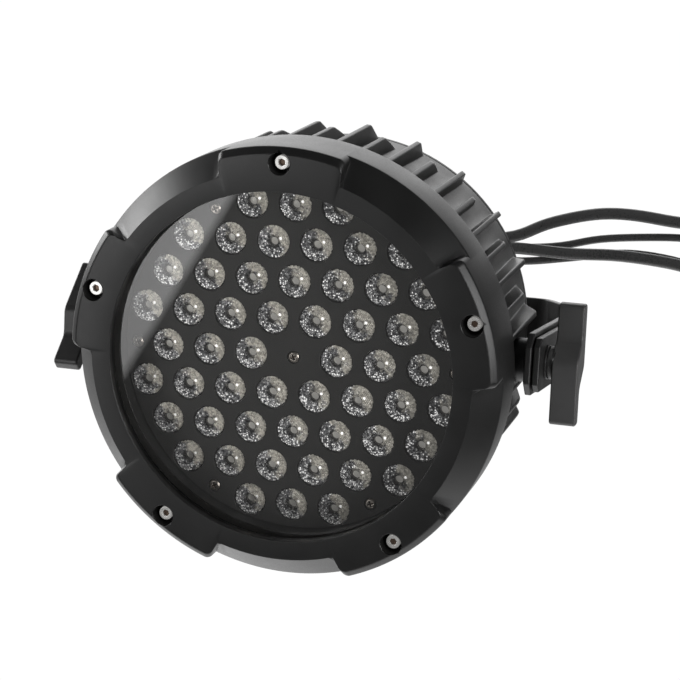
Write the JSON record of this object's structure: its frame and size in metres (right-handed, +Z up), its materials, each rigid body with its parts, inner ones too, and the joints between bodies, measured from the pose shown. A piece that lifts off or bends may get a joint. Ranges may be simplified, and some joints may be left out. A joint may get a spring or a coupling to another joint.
{
  "type": "par can light",
  "caption": "Finned LED par can light with a notched bezel, honeycomb lens array, nested double mounting bracket, wing clamp knobs and cable tails.",
  "frame": {"origin": "midpoint of the tilt axis between the two pivot bosses", "axes": "+X to the right when facing the lenses, along the tilt axis; the beam leaves along -Y; +Z up"},
  "size_m": [0.4548, 0.2622, 0.2686],
  "materials": {
    "cast_black": "black satin powder coat on die-cast aluminium",
    "stainless": "bright stainless",
    "seal_rubber": "matt silicone",
    "clear_glass": "clear toughened",
    "matte_black": "fine matt",
    "plated_screw": "nickel plated",
    "lens_acrylic": "clear acrylic with a beaded front",
    "white_board": "white solder mask on aluminium",
    "led_phosphor": "clear dome over phosphor",
    "thermal_silicone": "matt silicone pad",
    "gloss_black": "satin polycarbonate",
    "smoked_window": "clear smoked",
    "button_grey": "soft touch",
    "green_board": "green solder mask",
    "bare_aluminium": "plain sheet",
    "brass_standoff": "turned",
    "red_lead": "sleeved wires",
    "black_nylon": "moulded, fine grain",
    "cable_rubber": "smooth satin rubber sheath",
    "powder_coat": "black satin powder coat on steel bar",
    "black_steel": "black oxide"
  },
  "bodies": {
    "hanging_bracket": {"hanging_yoke": "powder_coat"},
    "head": {"front_bezel": "cast_black", "bezel_screws": "stainless", "glass_gasket": "seal_rubber", "front_glass": "clear_glass", "lens_plate": "matte_black", "lens_plate_screws": "plated_screw", "collimator_lenses": "lens_acrylic", "led_board": "white_board", "led_emitters": "led_phosphor", "thermal_pad": "thermal_silicone", "housing": "cast_black", "rear_seal": "seal_rubber", "rear_cover": "cast_black", "rear_cover_screws": "stainless", "control_panel": "gloss_black", "display_window": "smoked_window", "display_module": "matte_black", "control_board": "green_board", "power_supply": "bare_aluminium", "driver_board": "green_board", "board_standoffs": "brass_standoff", "led_leads": "red_lead", "gland_bodies": "black_nylon", "gland_locknuts": "black_nylon", "gland_seals": "seal_rubber", "gland_nuts": "black_nylon", "power_in_cable": "cable_rubber", "power_out_cable": "cable_rubber", "signal_in_cable": "cable_rubber", "signal_out_cable": "cable_rubber", "power_in_plug": "black_nylon", "power_out_socket": "black_nylon", "signal_in_plug": "black_nylon", "signal_out_socket": "black_nylon", "connector_pins": "brass_standoff", "vent_plug": "black_nylon", "safety_eye": "stainless", "friction_washers": "seal_rubber"},
    "stand_bracket": {"stand_yoke": "powder_coat", "spacer_washers": "seal_rubber"},
    "right_washer": {"clamp_washer_right": "black_steel"},
    "right_knob": {"knob_right": "black_nylon", "knob_stud_right": "stainless"},
    "left_washer": {"clamp_washer_left": "black_steel"},
    "left_knob": {"knob_left": "black_nylon", "knob_stud_left": "stainless"},
    "menu_button": {"button_menu": "button_grey"},
    "up_button": {"button_up": "button_grey"},
    "down_button": {"button_down": "button_grey"},
    "enter_button": {"button_enter": "button_grey"},
    "power_in_collar": {"power_in_ring": "black_nylon"},
    "power_out_collar": {"power_out_ring": "black_nylon"},
    "signal_in_collar": {"signal_in_ring": "black_nylon"},
    "signal_out_collar": {"signal_out_ring": "black_nylon"}
  },
  "joints": [
    {"name": "head_tilt", "type": "hinge", "parent": "hanging_bracket", "child": "head", "pos_m": [0, 0, 0], "axis": [1, 0, 0], "range_deg": [0, 150]},
    {"name": "stand_swing", "type": "hinge", "parent": "head", "child": "stand_bracket", "pos_m": [0, 0, 0], "axis": [1, 0, 0], "range_deg": [-150, 0]},
    {"name": "right_clamp_travel", "type": "slide", "parent": "head", "child": "right_washer", "axis": [1, 0, 0], "range_m": [0, 0.00125]},
    {"name": "right_knob_turn", "type": "hinge", "parent": "right_washer", "child": "right_knob", "pos_m": [0.16, 0, 0], "axis": [1, 0, 0], "range_deg": [0, 360]},
    {"name": "left_clamp_travel", "type": "slide", "parent": "head", "child": "left_washer", "axis": [-1, 0, 0], "range_m": [0, 0.00125]},
    {"name": "left_knob_turn", "type": "hinge", "parent": "left_washer", "child": "left_knob", "pos_m": [-0.16, 0, 0], "axis": [-1, 0, 0], "range_deg": [0, 360]},
    {"name": "menu_button_press", "type": "slide", "parent": "head", "child": "menu_button", "axis": [0, -1, 0], "range_m": [0, 0.001], "stiffness_N_per_m": 800},
    {"name": "up_button_press", "type": "slide", "parent": "head", "child": "up_button", "axis": [0, -1, 0], "range_m": [0, 0.001], "stiffness_N_per_m": 800},
    {"name": "down_button_press", "type": "slide", "parent": "head", "child": "down_button", "axis": [0, -1, 0], "range_m": [0, 0.001], "stiffness_N_per_m": 800},
    {"name": "enter_button_press", "type": "slide", "parent": "head", "child": "enter_button", "axis": [0, -1, 0], "range_m": [0, 0.001], "stiffness_N_per_m": 800},
    {"name": "power_in_ring_turn", "type": "hinge", "parent": "head", "child": "power_in_collar", "pos_m": [0.27, 0.15, 0.062], "axis": [1, 0, 0], "range_deg": [0, 90]},
    {"name": "power_out_ring_turn", "type": "hinge", "parent": "head", "child": "power_out_collar", "pos_m": [0.27, 0.138, 0.03], "axis": [1, 0, 0], "range_deg": [0, 90]},
    {"name": "signal_in_ring_turn", "type": "hinge", "parent": "head", "child": "signal_in_collar", "pos_m": [0.26, 0.176, 0.046], "axis": [1, 0, 0], "range_deg": [0, 90]},
    {"name": "signal_out_ring_turn", "type": "hinge", "parent": "head", "child": "signal_out_collar", "pos_m": [0.26, 0.168, 0.024], "axis": [1, 0, 0], "range_deg": [0, 90]}
  ],
  "couplings": [
    {"joint": "right_clamp_travel", "follows": "right_knob_turn", "m_per_rad": 0.00019894},
    {"joint": "left_clamp_travel", "follows": "left_knob_turn", "m_per_rad": 0.00019894}
  ]
}
